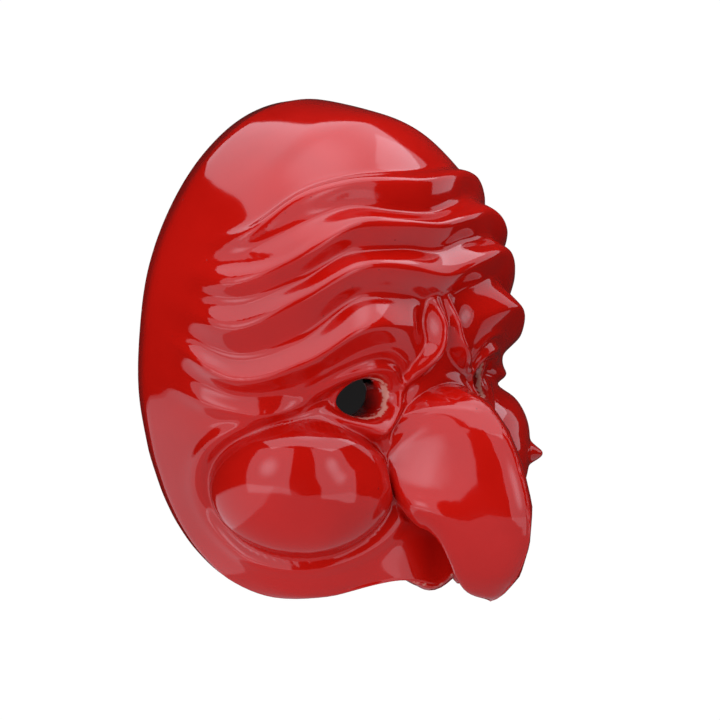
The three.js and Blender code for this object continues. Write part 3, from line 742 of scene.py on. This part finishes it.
def lacquer_material():
    """Deep red gloss lacquer, a little cloudy, pitted, worn pale at the edges and duller inside."""
    material = bpy.data.materials.new("red_lacquer")
    material.use_nodes = True
    tree = material.node_tree
    surface = tree.nodes["Principled BSDF"]
    finish = add_node(tree, "ShaderNodeGroup", node_tree=surface_finish())
    set_inputs(finish, cloud_size=CLOUD_SCALE, pit_size=PIT_SCALE)
    masks = finish.outputs
    red = mixed_colour(tree, between(tree, masks["Clouds"], *CLOUD_TINT), DEEP_RED, CLEAR_RED)
    red = mixed_colour(tree, masks["Pits"], red, PIT_RED)
    red = mixed_colour(tree, masks["Inside"], red, INSIDE_RED)
    red = mixed_colour(tree, masks["Worn"], red, BARE_EDGE)
    tree.links.new(red, surface.inputs["Base Color"])
    gloss = between(tree, masks["Clouds"], *CLOUD_GLOSS, *GLOSS)
    dull = add_node(tree, "ShaderNodeMath", operation="MAXIMUM")
    tree.links.new(masks["Inside"], dull.inputs[0])
    tree.links.new(masks["Worn"], dull.inputs[1])
    rough = add_node(tree, "ShaderNodeMath", operation="MULTIPLY_ADD")
    tree.links.new(dull.outputs["Value"], rough.inputs[0])
    rough.inputs[1].default_value = DULL_ROUGHNESS
    tree.links.new(gloss, rough.inputs[2])
    tree.links.new(rough.outputs["Value"], surface.inputs["Roughness"])
    ripple = add_node(tree, "ShaderNodeBump", {"Height": masks["Ripples"]})
    set_inputs(ripple, strength=0.06, distance=0.0002)
    pitted = add_node(tree, "ShaderNodeBump", {"Height": masks["Pits"], "Normal": ripple.outputs["Normal"]})
    pitted.invert = True
    set_inputs(pitted, strength=0.35, distance=0.0002)
    tree.links.new(pitted.outputs["Normal"], surface.inputs["Normal"])
    return material


mask = build_mask()
mask.data.materials.append(lacquer_material())
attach(mask, "root")
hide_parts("mask")

# Ground and light

SHADE_HALF_WIDTH = 0.079  # dark ground under the mask, in metres
SHADE_HALF_LENGTH = 0.086
LIGHTS_MIDDLE = Vector((0, 0, 0.06))  # the lights stand round this point of the mask
LIGHT_TINT = (1.0, 1.0, 1.12)
BRIGHT_REACH = 0.3  # share of a soft box's side over which its bright middle fades


def add_ground():
    """White ground that fills the view, in shadow under the mask."""
    bpy.ops.object.select_all(action="DESELECT")
    bpy.ops.mesh.primitive_plane_add(size=6, location=(0, 0, 0))
    ground = bpy.context.object
    ground.name = "ground"
    material = bpy.data.materials.new("white_ground")
    material.use_nodes = True
    nodes = material.node_tree.nodes
    links = material.node_tree.links
    surface = nodes["Principled BSDF"]
    surface.inputs["Base Color"].default_value = (0.0, 0.0, 0.0, 1)
    surface.inputs["Roughness"].default_value = 1.0
    surface.inputs["Emission Color"].default_value = (1, 1, 1, 1)
    place = nodes.new("ShaderNodeTexCoord")
    stretch = nodes.new("ShaderNodeMapping")
    stretch.inputs["Scale"].default_value = (1 / SHADE_HALF_WIDTH, 1 / SHADE_HALF_LENGTH, 0)
    length = nodes.new("ShaderNodeVectorMath")
    length.operation = "LENGTH"
    lit = nodes.new("ShaderNodeMapRange")
    lit.inputs["From Min"].default_value = 0.9
    lit.inputs["From Max"].default_value = 1.0
    lit.inputs["To Min"].default_value = 0.01
    lit.inputs["To Max"].default_value = 1.0
    links.new(place.outputs["Object"], stretch.inputs["Vector"])
    links.new(stretch.outputs["Vector"], length.inputs[0])
    links.new(length.outputs["Value"], lit.inputs["Value"])
    links.new(lit.outputs["Result"], surface.inputs["Emission Strength"])
    ground.data.materials.append(material)
    ground.visible_glossy = False
    ground.visible_diffuse = False


def add_light(name, middle, size, aims, brightness, glow):
    """A soft box in the camera's own directions (aside, above, towards), in metres.

    The box is brighter in its middle: glow is the extra brightness there.
    """
    place = LIGHTS_MIDDLE + view_right * middle[0] + view_up * middle[1] + view_back * middle[2]
    facing = view_right * aims[0] + view_up * aims[1] + view_back * aims[2]
    data = bpy.data.lights.new(name, "AREA")
    data.shape = "RECTANGLE"
    data.size, data.size_y = size
    data.energy = size[0] * size[1] * math.pi
    data.color = LIGHT_TINT
    data.use_nodes = True
    nodes = data.node_tree.nodes
    links = data.node_tree.links
    place_on_box = nodes.new("ShaderNodeNewGeometry")
    centred = nodes.new("ShaderNodeVectorMath")
    centred.operation = "SUBTRACT"
    centred.inputs[1].default_value = (0.5, 0.5, 0)
    away = nodes.new("ShaderNodeVectorMath")
    away.operation = "LENGTH"
    fall = nodes.new("ShaderNodeMapRange")
    fall.interpolation_type = "SMOOTHERSTEP"
    fall.inputs["From Min"].default_value = 0.0
    fall.inputs["From Max"].default_value = BRIGHT_REACH
    fall.inputs["To Min"].default_value = brightness + glow
    fall.inputs["To Max"].default_value = brightness
    links.new(place_on_box.outputs["Parametric"], centred.inputs[0])
    links.new(centred.outputs["Vector"], away.inputs[0])
    links.new(away.outputs["Value"], fall.inputs["Value"])
    links.new(fall.outputs["Result"], nodes["Emission"].inputs["Strength"])
    light = bpy.data.objects.new(name, data)
    bpy.context.scene.collection.objects.link(light)
    light.matrix_world = Matrix.Translation(place) @ light_turn(facing)
    light.visible_camera = False
    return light


def light_turn(facing):
    """Turns a soft box to face a direction, with its sides level in the camera's view."""
    back = -facing.normalized()
    level = view_up if abs(back.dot(view_up)) < 0.9 else view_back
    side = level.cross(back).normalized()
    return Matrix((side, back.cross(side), back)).transposed().to_4x4()


def box_towards(name, turn_from, turn_to, rise_from, rise_to, brightness, glow, away=0.9):
    """A soft box that fills the given directions as seen from the mask, in degrees from the camera."""
    turn = math.radians((turn_from + turn_to) / 2)
    rise = math.radians((rise_from + rise_to) / 2)
    wide = 2 * away * math.tan(math.radians((turn_to - turn_from) / 2)) * math.cos(rise)
    tall = 2 * away * math.tan(math.radians((rise_to - rise_from) / 2))
    out = (math.sin(turn) * math.cos(rise), math.sin(rise), math.cos(turn) * math.cos(rise))
    middle = [away * part for part in out]
    return add_light(name, middle, (wide, tall), [-part for part in out], brightness, glow)


add_ground()
box_towards("left_box", -54, -6, -27, 41, 1.3, 2.0)
box_towards("right_box", 18, 55, -27, 41, 1.15, 2.0)
box_towards("far_box", 98, 128, 0, 60, 1.2, 0.0)
add_light("top_box", (0.07, 0.6, 0.15), (1.06, 1.0), (0, -1, 0), 2.05, 1.2)
add_light("table_bounce", (0, -0.45, 0.2), (2.6, 1.7), (0, 1, 0), 0.5, 0.0)
add_light("table_left", (-0.9, -0.44, 0.2), (1.0, 1.6), (0, 1, 0), 0.7, 0.0)
fill = add_light("low_fill", (-0.2, -0.5, 0.9), (0.8, 0.5), (0.2, 0.5, -0.9), 1.6, 0.0)
fill.visible_glossy = False

world = bpy.data.worlds.new("studio")
bpy.context.scene.world = world
world.use_nodes = True
world.node_tree.nodes["Background"].inputs["Color"].default_value = (1, 1, 1, 1)
world.node_tree.nodes["Background"].inputs["Strength"].default_value = 0.02

bpy.context.scene.view_settings.view_transform = "Standard"
